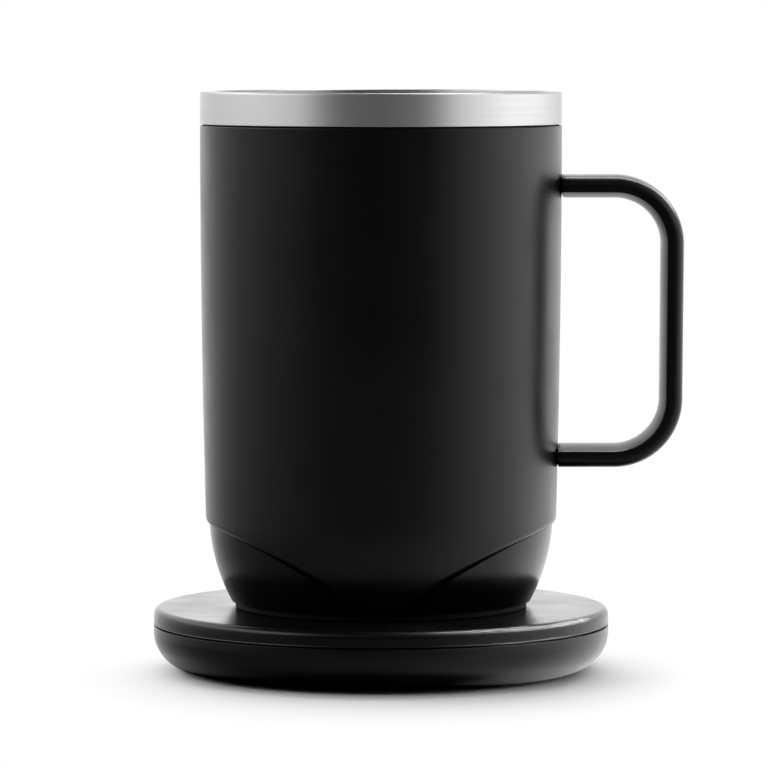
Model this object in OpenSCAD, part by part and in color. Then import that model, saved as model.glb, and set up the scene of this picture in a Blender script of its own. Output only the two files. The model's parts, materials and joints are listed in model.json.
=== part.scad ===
// Self-heating mug standing on its charging coaster, in millimetres.
// The origin is the centre of the coaster's underside, +Z is up and +X points to the handle.
// Heights called _h on the mug are measured up from the plane of its foot.

/* [Coaster] */
// Outer diameter of the coaster
coaster_d = 108.6; // [104:0.2:116]
// Height of the lower shell, from its underside to the seam
coaster_shell_h = 10.7; // [10.6:0.1:13]
// Height of the cover, from the seam to the plane the mug stands on
coaster_cover_h = 4; // [3.6:0.1:5.5]
// Rounding of the cover's upper edge
coaster_edge_r = 1.6; // [0.8:0.1:1.8]
// Rounding of the lower shell's belly
coaster_belly_r = 9; // [7:0.5:10]
// Wall of both coaster shells
coaster_wall = 2; // [1.6:0.1:2.4]
// Diameter of the non-slip pad
pad_d = 82; // [80:1:86]
// Thickness of the non-slip pad
pad_t = 1.5; // [1.2:0.1:1.6]
// How far the pad stands below the shell
pad_proud = 0.6; // [0.4:0.1:0.8]
// Diameter of the raised contact boss
boss_d = 27; // [25:0.5:28]
// Height of the raised contact boss
boss_h = 1; // [0.6:0.1:1.2]

/* [Mug] */
// Height of the mug, foot to rim
mug_h = 122.8; // [118:0.2:140]
// Outer diameter at the rim
rim_d = 86; // [85:0.2:90]
// Radius that the side loses from the band down to the bowl
body_taper = 1.2; // [0.9:0.05:1.5]
// Sheet thickness of the outer shell
shell_t = 0.75; // [0.6:0.05:0.75]
// Height of the bare steel band
band_h = 7.7; // [6.5:0.1:9]
// Sheet thickness of the band
band_t = 0.7; // [0.6:0.05:0.8]
// Rounding of the rim's outer edge
rim_edge_r = 0.6; // [0.3:0.1:0.6]
// Height of the dark groove under the band
groove_h = 0.35; // [0.25:0.05:0.5]
// Inside diameter of the drinking cup
liner_d = 79.2; // [78:0.2:79.6]
// Sheet thickness of the drinking cup
liner_t = 0.7; // [0.6:0.05:0.8]
// Height of the drinking cup's floor
cup_floor_h = 33.4; // [33.4:0.1:36]
// Rounding inside the bottom of the drinking cup
cup_corner_r = 6; // [5:0.5:7]

/* [Bowl and seam] */
// Height where the side starts to curve in
bowl_h = 21.5; // [20.5:0.1:23]
// Radius of that curve
bowl_r = 44.5; // [40:0.5:50]
// Diameter of the foot ring
foot_d = 69.5; // [68.8:0.1:70]
// Height of the foot ring's upright side
foot_side_h = 1.6; // [1.4:0.1:2]
// Height of the shell's lower edge at the two sides
seam_side_h = 20.4; // [18:0.1:21]
// Radius of the shell's lower edge, seen from the front
seam_r = 93; // [80:1:120]
// Slope of the shell's lower edge at the two sides, in degrees
seam_slope = 13.2; // [11:0.1:16]
// Height of the tongue's tip
tongue_tip_h = 2.8; // [2.4:0.1:4]

/* [Handle] */
// Width of the handle's strap from front to back
strap_w = 15.6; // [14:0.2:18]
// Thickness of the strap along its front and back edges
strap_edge_t = 3.5; // [3.2:0.1:4]
// Rise of the strap's inner face towards its middle
strap_crown_in = 1.5; // [1:0.05:1.7]
// Rise of the strap's outer face towards its middle
strap_crown_out = 0.55; // [0.4:0.05:0.8]
// Rounding of the strap's outer edges
strap_edge_r = 2.3; // [1.6:0.1:2.8]
// Distance from the mug's axis to the outside of the handle
handle_reach = 72.15; // [68:0.05:80]
// Distance from the rim down to the middle of the upper arm's edge
handle_drop = 22; // [18:0.1:30]
// Height of the middle of the lower arm's edge
handle_low_h = 35.75; // [35.6:0.05:42]
// Bend radius along the middle of the strap's edge
handle_bend_r = 14.2; // [11:0.1:16]
// Gap where the strap meets the shell
handle_seat_t = 0.35; // [0.25:0.05:0.6]

/* [Power] */
// Diameter of one battery cell
cell_d = 18; // [17:0.1:18]
// Length of one battery cell
cell_l = 35; // [32:0.5:35]
// Diameter of the button under the mug
button_d = 8; // [6.5:0.1:8]
// Travel of the button
button_travel = 0.5; // [0.3:0.1:0.5]
// Travel of the charging pins
pin_travel = 0.6; // [0.4:0.1:0.6]
// Distance of the inner charging pin from the axis
pin_inner_x = 4.5; // [4:0.1:5]
// Distance of the outer charging pin from the axis
pin_outer_x = 9.5; // [9:0.1:10]

/* [Hidden] */
fine = 96;
small = 32;
over = 0.5;

// Colours
coat = [0.07, 0.07, 0.075];
steel = [0.75, 0.75, 0.74];
black = [0.05, 0.05, 0.05];
grey = [0.3, 0.3, 0.32];
gold = [0.83, 0.68, 0.35];
green = [0.08, 0.3, 0.2];
red = [0.65, 0.12, 0.1];

// Fits
sleeve_fit = 0.08;
slide_fit = 0.1;
press_gap = 0.3;
screw_fit = 0.2;

// Coaster levels
coaster_r = coaster_d / 2;
shell_z = pad_proud;
seam_z = shell_z + coaster_shell_h;
mug_z = seam_z + coaster_cover_h;
coaster_floor_t = 2.4;
coaster_floor_z = shell_z + coaster_floor_t;
cover_plate_t = 2.4;
cover_under_z = mug_z - cover_plate_t;
pad_seat_z = pad_t;
seam_gap = 0.35;
seam_depth = 0.8;
lip_t = 2;
lip_fit = 0.2;
lip_drop = 2;
boss_chamfer = 0.5;

// Coaster screws and board
coaster_screw_ring = 37;
coaster_screw_angles = [30, 150, 270];
coaster_post_r = 3.6;
coaster_post_foot = 1.8;
head_r = 2.75;
head_h = 1.2;
m3_r = 1.5;
board_t = 1.6;
coaster_board_gap = 2;
coaster_board_z = coaster_floor_z + coaster_board_gap;
coaster_board_top = coaster_board_z + board_t;
coaster_board_r = 17;
coaster_board_w = 18;
inlet_w = 8.94;
inlet_t = 3.26;
inlet_l = 7.4;
inlet_wall = 0.3;
inlet_set_back = 1.2;
inlet_front_y = coaster_r - inlet_set_back;
inlet_z = coaster_board_top + inlet_t / 2;
belly_in_r = coaster_belly_r - coaster_wall;
belly_x = coaster_r - coaster_belly_r;
belly_in_z = coaster_floor_z + belly_in_r;
board_room = belly_x + sqrt(pow(belly_in_r, 2) - pow(belly_in_z - coaster_board_z, 2)) - 0.4;
coaster_board_end = sqrt(pow(board_room, 2) - pow(coaster_board_w / 2, 2));
coaster_hole_x = pin_outer_x + 3.9;
coaster_board_holes = [[-coaster_hole_x, 0], [coaster_hole_x, 0], [-6.5, 27], [6.5, 27]];

// Charging pins
ring_drop = 0.2;
recess_h = boss_h + pin_travel + 0.4;
ring_face_h = recess_h - ring_drop;
pin_tip_z = mug_z + ring_face_h;
boss_top_z = mug_z + boss_h;
barrel_r = 1.5;
barrel_bore_r = 1.15;
barrel_lip = 0.4;
barrel_floor_t = 1.2;
barrel_top_z = boss_top_z - 0.2;
barrel_floor_z = coaster_board_top + barrel_floor_t;
pin_r = 0.75;
shoulder_r = barrel_bore_r - slide_fit;
shoulder_top_z = barrel_top_z - barrel_lip;
shoulder_h = 2.2;
spring_wire_r = 0.14;
spring_turns = 7;

// Mug radii and levels
rim_r = rim_d / 2;
band_low_h = mug_h - band_h;
shell_top_h = band_low_h - groove_h;
taper_run = band_low_h - bowl_h;
bowl_start = atan(2 * body_taper / taper_run);
bowl_top_r = rim_r - body_taper;
bowl_axis_r = bowl_top_r - bowl_r * cos(bowl_start);
bowl_axis_h = bowl_h + bowl_r * sin(bowl_start);
liner_r = liner_d / 2;
liner_out_r = liner_r + liner_t;
handle_top_h = mug_h - handle_drop;
strap_mid = (strap_crown_in - strap_crown_out) / 2;
handle_screw_hs = [handle_top_h - strap_mid, handle_low_h + strap_mid];
rim_plate_t = 1;
liner_top_h = mug_h - rim_plate_t;
liner_under_h = cup_floor_h - liner_t;
recess_r = boss_d / 2 + 1.5;
housing_inset = shell_t + sleeve_fit;
housing_wall = 2;
spigot_h = bowl_h + 4.5;
seal_h = spigot_h - 2.2;
seal_r = body_r(seal_h) - shell_t;
seal_cord_r = 0.75;
rim_seal_low = 2.5;
rim_seal_high = 3;
seal_fit = 0.06;
foot_w = 5.4;
foot_lip = 1.75;
housing_rim = 1.4;
cover_r = min(foot_d / 2 - foot_lip, body_r(foot_side_h) - housing_inset - housing_rim);
cover_fit = 0.1;
cover_low_h = 1;
cover_t = 1.5;
flange_h = cover_low_h + cover_t;
flange_t = 1.5;
flange_in_r = cover_r - 2.9;
bowl_steps = 12;
barrel_steps = 10;

// Pillars that join the base to the drinking cup
pillar_ring = 29.5;
pillar_angles = [60, 120, 240, 300];
pillar_r = 4;
pillar_top_h = liner_under_h - 8.7;
pillar_head_h = pillar_top_h - 7;
post_r = 3;

// Screw rings in the base
cover_screw_ring = cover_r - 2;
cover_boss_r = 2.4;
cover_screw_angles = [30, 150, 210, 330];
tray_boss_ring = 31;
tray_boss_angles = [0, 90, 180, 270];
tray_boss_r = 2.7;
m2_r = 1;
m2_head_r = 1.9;
m2_head_h = 0.9;
board_post_r = 2.6;
board_screw_r = 0.8;
board_head_r = 1.7;

// Screw lengths under the head
handle_screw_l = 8;
chassis_screw_l = 12;
chassis_head_h = 2;
cover_screw_l = 3.3;
tray_screw_l = 6;
board_screw_l = 4.2;
coaster_screw_l = 8;
coaster_board_screw_l = 4;

// Heating stack under the drinking cup
spreader_t = 1.2;
heater_t = 0.4;
pad_stack_t = 1.8;
plate_t = 0.8;
spreader_h = liner_under_h - spreader_t;
heater_h = spreader_h - heater_t;
pad_stack_h = heater_h - pad_stack_t;
plate_h = pad_stack_h - plate_t;
clip_t = 0.6;
spreader_r = 26;
plate_r = 33;
sensor_r = 2.7;
sensor_gap = 0.05;
lead_slot = 17;

// Battery
cell_r = cell_d / 2;
cell_pitch = cell_d + 0.6;
cushion_t = 0.5;
cushion_w = 26;
cushion_end = 5;
cell_h = plate_h - cushion_t - cell_r;
tray_low_h = 9;
tray_top_h = cell_h - 2;
tray_gap = 0.1;
link_t = 0.25;
end_gap = link_t + 0.15;
end_wall = 1.6;
tray_x = cell_pitch + cell_r + 0.9;
tray_y = cell_l / 2 + end_gap + end_wall;
ear_r = 34.2;
ear_w = 8;
ear_t = 2;

// Main board, button and switch
main_board_t = 1.2;
main_board_h = 6;
main_board_top = main_board_h + main_board_t;
main_board_r = 25.3;
board_screw_ring = 22;
board_screw_angles = [30, 150, 270];
button_ring = 21.5;
button_r = button_d / 2;
button_face_h = 0.6;
button_flange_r = button_r + 0.8;
button_flange_t = 0.75;
button_top_h = flange_h + button_flange_t;
switch_w = 5.2;
switch_low_h = main_board_h - 2.1;
stem_r = 1.4;
stem_in = 0.7;
ring_w = 2;
ring_t = 0.6;
tail_r = 0.55;
connector = [5, 3, 3];
connector_at = [6.8, main_board_r - 3.5];
lead_gap = 0.12;

// Outer radius of the coated body at height h above the foot
function body_r(h) =
    h >= bowl_h
    ? rim_r - body_taper * pow(max(0, band_low_h - h) / taper_run, 2)
    : bowl_axis_r + sqrt(pow(bowl_r, 2) - pow(bowl_axis_h - h, 2));

// Heights that follow the curved side from low to high
function side_heights(low, high) = concat(
    [for (i = [0:bowl_steps]) low + (bowl_h - low) * i / bowl_steps],
    [for (i = [1:barrel_steps]) bowl_h + (high - bowl_h) * i / barrel_steps]
);

// Points of the side, set in from the coated surface
function side(inset, low, high) = [for (h = side_heights(low, high)) [body_r(h) - inset, h]];

// A list of points in the other order
function back(points) = [for (i = [len(points) - 1:-1:0]) points[i]];

// Points along an arc about [x, y]
function arc(x, y, r, from, to, steps = 8) =
    [for (i = [0:steps]) let (a = from + (to - from) * i / steps) [x + r * cos(a), y + r * sin(a)]];

// A smooth curve through the given points
function spline(points, steps = 6) = concat(
    [for (i = [0:len(points) - 2]) for (k = [0:steps - 1])
        let (
            t = k / steps,
            a = points[max(0, i - 1)],
            b = points[i],
            c = points[i + 1],
            d = points[min(len(points) - 1, i + 2)]
        )
        b + (c - a) * t / 2
        + (2 * a - 5 * b + 4 * c - d) * pow(t, 2) / 2
        + (3 * b - a - 3 * c + d) * pow(t, 3) / 2],
    [points[len(points) - 1]]
);

function unit(v) = v / norm(v);

// A round wire of radius r along a path; aside is a direction that the path never follows
module wire(path, r, aside, sides = 8) {
    last = len(path) - 1;
    rings = [for (i = [0:last])
        let (
            along = unit(path[min(last, i + 1)] - path[max(0, i - 1)]),
            u = unit(cross(along, aside)),
            v = cross(along, u)
        )
        for (k = [0:sides - 1])
            path[i] + r * (cos(360 * k / sides) * u + sin(360 * k / sides) * v)];
    skin = [for (i = [0:last - 1], k = [0:sides - 1], half = [0, 1])
        let (n = (k + 1) % sides, low = i * sides, high = low + sides)
        half == 0 ? [low + k, low + n, high + n] : [low + k, high + n, high + k]];
    start = [for (k = [sides - 1:-1:0]) k];
    finish = [for (k = [0:sides - 1]) last * sides + k];
    polyhedron(points = rings, faces = concat([start], skin, [finish]));
}

// A turned solid about the Z axis
module turned(points) {
    rotate_extrude($fn = fine)
        polygon(points);
}

// A flat ring that stands on the given height
module ring(out_r, in_r, low, thick) {
    translate([0, 0, low])
        difference() {
            cylinder(r = out_r, h = thick, $fn = fine);
            translate([0, 0, -over])
                cylinder(r = in_r, h = thick + 2 * over, $fn = fine);
        }
}

// A round rod between two heights
module rod(r, low, high) {
    translate([0, 0, low])
        cylinder(r = r, h = high - low, $fn = small);
}

// Repeats a piece around the Z axis
module around(angles, radius) {
    for (a = angles)
        rotate([0, 0, a])
            translate([radius, 0, 0])
                children();
}

// Lifts a piece from the mug's own heights to its place on the coaster
module on_mug() {
    translate([0, 0, mug_z])
        children();
}

// A screw with a flat round head below and its shank upward, from the head's underside
module screw_up(shank_r, shank_l, top_r, top_h) {
    rod(shank_r, 0, shank_l);
    rod(top_r, -top_h, 0);
}

// The space outside the tongues, seen from the front
module seam_cut() {
    side_x = body_r(seam_side_h);
    rotate([90, 0, 0])
        linear_extrude(height = 2 * rim_d, center = true) {
            for (s = [-1, 1])
                translate([s * (side_x + seam_r * sin(seam_slope)), seam_side_h - seam_r * cos(seam_slope)])
                    circle(r = seam_r, $fn = 4 * fine);
            translate([-rim_d, -rim_d])
                square([2 * rim_d, rim_d + tongue_tip_h]);
        }
}

// Rods along X where the handle's screws pass
module handle_axes(r, from, to) {
    for (h = handle_screw_hs)
        translate([from, 0, h])
            rotate([0, 90, 0])
                cylinder(r = r, h = to - from, $fn = small);
}

module outer_shell() {
    color(coat)
        on_mug()
            difference() {
                turned(concat(side(0, foot_side_h, shell_top_h), back(side(shell_t, foot_side_h, shell_top_h))));
                seam_cut();
                handle_axes(m3_r + screw_fit, liner_r, rim_d);
            }
}

module rim_band() {
    inner_edge = rim_plate_t - 0.1;
    color(steel)
        on_mug()
            turned(concat(
                [[rim_r, band_low_h]],
                arc(rim_r - rim_edge_r, mug_h - rim_edge_r, rim_edge_r, 0, 90),
                arc(liner_r + inner_edge, mug_h - inner_edge, inner_edge, 90, 180),
                [[liner_r, liner_top_h], [rim_r - band_t, liner_top_h], [rim_r - band_t, band_low_h]]
            ));
}

module rim_seal() {
    rib_r = rim_r - shell_t;
    core_r = rim_r - band_t - sleeve_fit;
    seal_low = shell_top_h - rim_seal_low;
    seal_high = band_low_h + rim_seal_high;
    color(black)
        on_mug()
            turned([
                [liner_out_r, seal_low], [core_r, seal_low], [core_r, shell_top_h], [rib_r, shell_top_h],
                [rib_r, band_low_h], [core_r, band_low_h], [core_r, seal_high], [liner_out_r, seal_high]
            ]);
}

module inner_liner() {
    corner_r = liner_r - cup_corner_r;
    corner_h = cup_floor_h + cup_corner_r;
    out_corner_r = cup_corner_r + liner_t;
    color(steel)
        on_mug() {
            turned(concat(
                [[0, liner_under_h]],
                arc(corner_r, corner_h, out_corner_r, -90, 0),
                [[liner_out_r, liner_top_h], [liner_r, liner_top_h]],
                arc(corner_r, corner_h, cup_corner_r, 0, -90),
                [[0, cup_floor_h]]
            ));
            around(pillar_angles, pillar_ring)
                difference() {
                    rod(post_r, pillar_top_h, liner_under_h + liner_t / 2);
                    rod(m3_r, pillar_top_h - over, liner_under_h - 2.5);
                }
        }
}

// Section of the strap: X points out of the handle's loop, Y from back to front
module strap_profile() {
    half_w = strap_w / 2;
    half_t = strap_edge_t / 2;
    crown_in_r = (pow(half_w, 2) + pow(strap_crown_in, 2)) / (2 * strap_crown_in);
    crown_out_r = (pow(half_w, 2) + pow(strap_crown_out, 2)) / (2 * strap_crown_out);
    crown_out_x = half_t + strap_crown_out - crown_out_r;
    edge_y = half_w - strap_edge_r;
    edge_x = crown_out_x + sqrt(pow(crown_out_r - strap_edge_r, 2) - pow(edge_y, 2));
    edge_over = 0.02;
    intersection() {
        translate([crown_in_r - half_t - strap_crown_in, 0])
            circle(r = crown_in_r, $fn = 2 * fine);
        translate([crown_out_x, 0])
            circle(r = crown_out_r, $fn = 4 * fine);
        square([4 * strap_edge_t, strap_w], center = true);
        union() {
            square([4 * strap_edge_t, 2 * edge_y], center = true);
            translate([edge_x - 2 * strap_edge_t, -strap_w])
                square([2 * strap_edge_t, 2 * strap_w]);
            for (s = [-1, 1])
                translate([edge_x, s * edge_y])
                    circle(r = strap_edge_r + edge_over, $fn = fine);
        }
    }
}

// An arm of the handle with its outer face up or down, hollowed to the shell and drilled for its screw
module handle_arm(h, screw_h, to_x, up) {
    difference() {
        translate([up ? to_x : 0, 0, h])
            rotate([0, up ? -90 : 90, 0])
                linear_extrude(height = to_x)
                    strap_profile();
        translate([0, 0, h])
            cylinder(r = body_r(h) + handle_seat_t, h = 4 * strap_edge_t, center = true, $fn = fine);
        translate([0, 0, screw_h])
            rotate([0, 90, 0])
                cylinder(r = m3_r, h = rim_r + handle_screw_l, $fn = small);
    }
}

// A bend of the strap about [x, h], from one angle up to another in the XZ plane
module handle_bend(x, h, from, to) {
    translate([x, 0, h])
        rotate([90, 0, 0])
            rotate([0, 0, from])
                rotate_extrude(angle = to - from, $fn = fine)
                    translate([handle_bend_r, 0])
                        strap_profile();
}

module handle() {
    top_bend_h = handle_top_h - handle_bend_r;
    low_bend_h = handle_low_h + handle_bend_r;
    bend_x = handle_reach - strap_edge_t / 2 - strap_crown_out - handle_bend_r;
    color(coat)
        on_mug() {
            handle_arm(handle_top_h, handle_screw_hs[0], bend_x, true);
            handle_bend(bend_x, top_bend_h, 0, 90);
            translate([bend_x + handle_bend_r, 0, low_bend_h])
                linear_extrude(height = top_bend_h - low_bend_h)
                    strap_profile();
            handle_bend(bend_x, low_bend_h, -90, 0);
            handle_arm(handle_low_h, handle_screw_hs[1], bend_x, false);
        }
}

module handle_seats() {
    seat_edge = 0.3;
    seat_w = strap_w - 2 * strap_edge_r;
    seat_h = strap_edge_t - 2 * seat_edge;
    seat_fit = 0.02;
    color(black)
        on_mug()
            difference() {
                for (h = [handle_top_h, handle_low_h])
                    translate([0, 0, h])
                        intersection() {
                            translate([0, -seat_w / 2, -seat_h / 2])
                                cube([rim_d, seat_w, seat_h]);
                            cylinder(r = body_r(h) + handle_seat_t - seat_fit, h = strap_w, center = true, $fn = fine);
                        }
                turned(concat([[0, foot_side_h]], side(0, foot_side_h, shell_top_h), [[0, shell_top_h]]));
                handle_axes(m3_r + screw_fit, liner_r, rim_d);
            }
}

module handle_screws() {
    head_t = 0.9;
    handle_head_r = 2.6;
    color(steel)
        on_mug()
            for (h = handle_screw_hs)
                translate([body_r(h) - shell_t - 0.15, 0, h])
                    rotate([0, 90, 0])
                        screw_up(m3_r, handle_screw_l, handle_head_r, head_t);
}

module base_housing() {
    wall_in = housing_inset + housing_wall;
    flange_top = flange_h + flange_t;
    rib_top = 15;
    cover_boss_h = main_board_h - 0.4;
    color(coat)
        on_mug()
            difference() {
                union() {
                    turned(concat(
                        [[cover_r + cover_fit, foot_side_h]],
                        side(housing_inset, foot_side_h, spigot_h),
                        back(side(wall_in, flange_top, spigot_h)),
                        [[flange_in_r, flange_top], [flange_in_r, flange_h], [cover_r + cover_fit, flange_h]]
                    ));
                    around(pillar_angles, pillar_ring)
                        rod(pillar_r, flange_h, pillar_top_h);
                    intersection() {
                        around(pillar_angles, pillar_ring)
                            translate([0, -1, flange_h])
                                cube([rim_r, 2, rib_top - flange_h]);
                        turned(concat(
                            [[0, flange_h]],
                            side(housing_inset + 0.5, flange_h, spigot_h),
                            [[0, spigot_h]]
                        ));
                    }
                    around(cover_screw_angles, cover_screw_ring)
                        rod(cover_boss_r, flange_h, cover_boss_h);
                    around(tray_boss_angles, tray_boss_ring)
                        rod(tray_boss_r, flange_h, tray_low_h);
                }
                ring(seal_r + 1, seal_r - 2 * seal_cord_r - seal_fit, seal_h - 1, 2);
                around(pillar_angles, pillar_ring) {
                    rod(head_r + 0.35, flange_h - over, pillar_head_h);
                    rod(m3_r + screw_fit, flange_h, pillar_top_h + over);
                }
                around(cover_screw_angles, cover_screw_ring)
                    rod(m2_r, flange_h - over, cover_boss_h - 0.3);
                around(tray_boss_angles, tray_boss_ring)
                    rod(m2_r, tray_low_h + ear_t - tray_screw_l - over, tray_low_h + over);
            }
}

module base_seal() {
    color(black)
        on_mug()
            rotate_extrude($fn = fine)
                translate([seal_r - seal_cord_r - seal_fit / 2, seal_h])
                    circle(r = seal_cord_r, $fn = small);
}

module foot_ring() {
    foot_r = foot_d / 2;
    in_r = foot_r - foot_w;
    edge = 0.3;
    lip_r = cover_r + cover_fit;
    color(black)
        on_mug()
            turned([
                [in_r + edge, 0], [foot_r - edge, 0], [foot_r, edge], [foot_r, foot_side_h],
                [lip_r, foot_side_h], [lip_r, cover_low_h], [in_r, cover_low_h], [in_r, edge]
            ]);
}

module base_cover() {
    step_r = recess_r + 1.5;
    roof_h = recess_h + cover_t;
    edge = 0.3 * (recess_h - cover_low_h);
    color(black)
        on_mug()
            difference() {
                union() {
                    turned([
                        [0, recess_h], [recess_r - edge, recess_h], [recess_r, recess_h - edge],
                        [recess_r, cover_low_h + edge], [recess_r + edge, cover_low_h], [cover_r, cover_low_h],
                        [cover_r, flange_h], [step_r, flange_h], [step_r, roof_h], [0, roof_h]
                    ]);
                    around(board_screw_angles, board_screw_ring)
                        rod(board_post_r, cover_low_h + over, main_board_h);
                }
                for (x = [pin_inner_x, pin_outer_x])
                    ring(x + ring_w / 2 + 0.05, x - ring_w / 2 - 0.05, recess_h - over, over + ring_t - ring_drop);
                ring_tails(tail_r + 0.1, recess_h, roof_h + over);
                around(board_screw_angles, board_screw_ring)
                    rod(board_screw_r, main_board_top - board_screw_l - 0.4, main_board_h + over);
                around(cover_screw_angles, cover_screw_ring) {
                    rod(m2_r + screw_fit, cover_low_h - over, flange_h + over);
                    rod(m2_head_r + screw_fit, cover_low_h - over, cover_low_h + m2_head_h);
                }
                translate([0, button_ring, 0])
                    rod(button_r + press_gap, cover_low_h - over, flange_h + over);
            }
}

// The solder tails of the two contact rings
module ring_tails(r, low, high) {
    for (x = [pin_inner_x, pin_outer_x], s = [-1, 1])
        translate([0, s * x, 0])
            rod(r, low, high);
}

module contact_ring(x) {
    color(gold)
        on_mug() {
            ring(x + ring_w / 2, x - ring_w / 2, ring_face_h, ring_t);
            for (s = [-1, 1])
                translate([0, s * x, 0])
                    rod(tail_r, ring_face_h + ring_t / 2, main_board_top + 0.4);
        }
}

module contact_ring_inner() {
    contact_ring(pin_inner_x);
}

module contact_ring_outer() {
    contact_ring(pin_outer_x);
}

module cover_screws() {
    color(steel)
        on_mug()
            around(cover_screw_angles, cover_screw_ring)
                translate([0, 0, cover_low_h + m2_head_h])
                    difference() {
                        screw_up(m2_r, cover_screw_l, m2_head_r, m2_head_h);
                        translate([-m2_head_r, -0.2, -m2_head_h - over])
                            cube([2 * m2_head_r, 0.4, over + 0.4]);
                    }
}

module chassis_screws() {
    color(steel)
        on_mug()
            around(pillar_angles, pillar_ring)
                translate([0, 0, pillar_head_h])
                    difference() {
                        screw_up(m3_r, chassis_screw_l, head_r, chassis_head_h);
                        translate([0, 0, -chassis_head_h - over])
                            cylinder(r = 1.3, h = over + 1.2, $fn = 6);
                    }
}

module heat_spreader() {
    color(grey)
        on_mug()
            ring(spreader_r, sensor_r + sensor_gap, spreader_h, spreader_t);
}

module film_heater() {
    tab = [14, 7, heater_t];
    color([0.75, 0.45, 0.12])
        on_mug()
            difference() {
                union() {
                    rod(spreader_r - 1, heater_h, spreader_h);
                    translate([-tab[0] / 2, -spreader_r - 3, heater_h])
                        cube(tab);
                }
                rod(sensor_r + sensor_gap, heater_h - over, spreader_h + over);
            }
}

module temperature_sensor() {
    color(grey)
        on_mug()
            rod(sensor_r, heater_h, liner_under_h);
}

module insulation_pad() {
    slot = 6;
    color([0.85, 0.83, 0.75])
        on_mug()
            difference() {
                rod(spreader_r, pad_stack_h, heater_h);
                translate([-slot / 2, -spreader_r - over, pad_stack_h - over])
                    cube([slot, spreader_r + sensor_r, pad_stack_t + 2 * over]);
                translate([-lead_slot / 2, -spreader_r - over, pad_stack_h - over])
                    cube([lead_slot, 9, pad_stack_t + 2 * over]);
            }
}

module clamp_plate() {
    color(steel)
        on_mug()
            difference() {
                rod(plate_r, plate_h, pad_stack_h);
                around(pillar_angles, pillar_ring)
                    rod(post_r + 0.15, plate_h - over, pad_stack_h + over);
                translate([-lead_slot / 2, -plate_r - over, plate_h - over])
                    cube([lead_slot, plate_r - 20, plate_t + 2 * over]);
            }
}

module plate_clips() {
    color(steel)
        on_mug()
            around(pillar_angles, pillar_ring)
                ring(post_r + 1.4, post_r + 0.02, plate_h - clip_t, clip_t);
}

module battery_cells() {
    nub_r = 2.8;
    nub_l = 0.6;
    can_l = cell_l - nub_l;
    color([0.2, 0.35, 0.6])
        on_mug()
            for (i = [-1, 0, 1])
                translate([i * cell_pitch, 0, cell_h])
                    rotate([i == 0 ? 90 : -90, 0, 0])
                        translate([0, 0, -cell_l / 2])
                            turned([
                                [0, 0], [cell_r - 0.4, 0], [cell_r, 0.4], [cell_r, can_l - 3],
                                [cell_r - 0.5, can_l - 2.6], [cell_r - 0.5, can_l - 2], [cell_r, can_l - 1.6],
                                [cell_r, can_l - 0.4], [cell_r - 0.4, can_l], [nub_r, can_l], [nub_r, cell_l],
                                [0, cell_l]
                            ]);
}

module cell_links() {
    link_w = 6;
    end_y = cell_l / 2;
    link_h = tray_top_h + 0.1;
    color(steel)
        on_mug()
            for (s = [-1, 1])
                rotate([0, 0, s > 0 ? 0 : 180]) {
                    translate([-cell_pitch - link_w / 2, end_y, link_h])
                        cube([cell_pitch + link_w, link_t, link_w]);
                    translate([cell_pitch - link_w / 2, end_y, link_h])
                        cube([link_w, link_t, link_w + 2]);
                }
}

module battery_tray() {
    color(black)
        on_mug()
            difference() {
                union() {
                    translate([-tray_x, -tray_y, tray_low_h])
                        cube([2 * tray_x, 2 * tray_y, tray_top_h - tray_low_h]);
                    for (a = tray_boss_angles)
                        rotate([0, 0, a])
                            translate([tray_y - 1, -ear_w / 2, tray_low_h])
                                cube([ear_r - tray_y + 1, ear_w, ear_t]);
                }
                for (i = [-1, 0, 1])
                    translate([i * cell_pitch, 0, cell_h])
                        rotate([90, 0, 0])
                            cylinder(r = cell_r + tray_gap, h = cell_l + 2 * end_gap, center = true, $fn = fine);
                around(tray_boss_angles, tray_boss_ring)
                    rod(m2_r + screw_fit, tray_low_h - over, tray_low_h + ear_t + over);
                around([0, 180], tray_boss_ring)
                    rod(m2_head_r + 0.6, tray_low_h + ear_t, tray_top_h + over);
            }
}

module tray_screws() {
    color(steel)
        on_mug()
            around(tray_boss_angles, tray_boss_ring)
                translate([0, 0, tray_low_h + ear_t])
                    mirror([0, 0, 1])
                        difference() {
                            screw_up(m2_r, tray_screw_l, m2_head_r, m2_head_h);
                            translate([-m2_head_r, -0.2, -m2_head_h - over])
                                cube([2 * m2_head_r, 0.4, over + 0.4]);
                        }
}

module battery_cushion() {
    color([0.25, 0.25, 0.25])
        on_mug()
            translate([-cell_pitch - cushion_end, -cushion_w / 2, plate_h - cushion_t])
                cube([2 * (cell_pitch + cushion_end), cushion_w, cushion_t]);
}

module main_board() {
    color(green)
        on_mug()
            difference() {
                rod(main_board_r, main_board_h, main_board_top);
                ring_tails(tail_r + 0.1, main_board_h - over, main_board_top + over);
                around(board_screw_angles, board_screw_ring)
                    rod(m2_r + 0.1, main_board_h - over, main_board_top + over);
            }
}

module control_chip() {
    chip = [7, 7, 0.9];
    color(black)
        on_mug()
            translate([-16, -4, main_board_top])
                difference() {
                    cube(chip);
                    translate([1, 1, chip[2]])
                        cylinder(r = 0.4, h = 0.3, center = true, $fn = small);
                }
}

module radio_can() {
    can = [12, 9, 1.5];
    color(steel)
        on_mug()
            translate([5.5, -12, main_board_top])
                cube(can);
}

module board_connectors() {
    color([0.9, 0.88, 0.8])
        on_mug()
            for (s = [-1, 1])
                translate([s * connector_at[0] - connector[0] / 2, -connector_at[1] - connector[1] / 2, main_board_top])
                    cube(connector);
}

module status_led() {
    color([0.95, 0.95, 0.9])
        on_mug()
            translate([3.4, button_ring - 1, main_board_h - 0.8])
                cube([1.6, 2, 0.8]);
}

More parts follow.
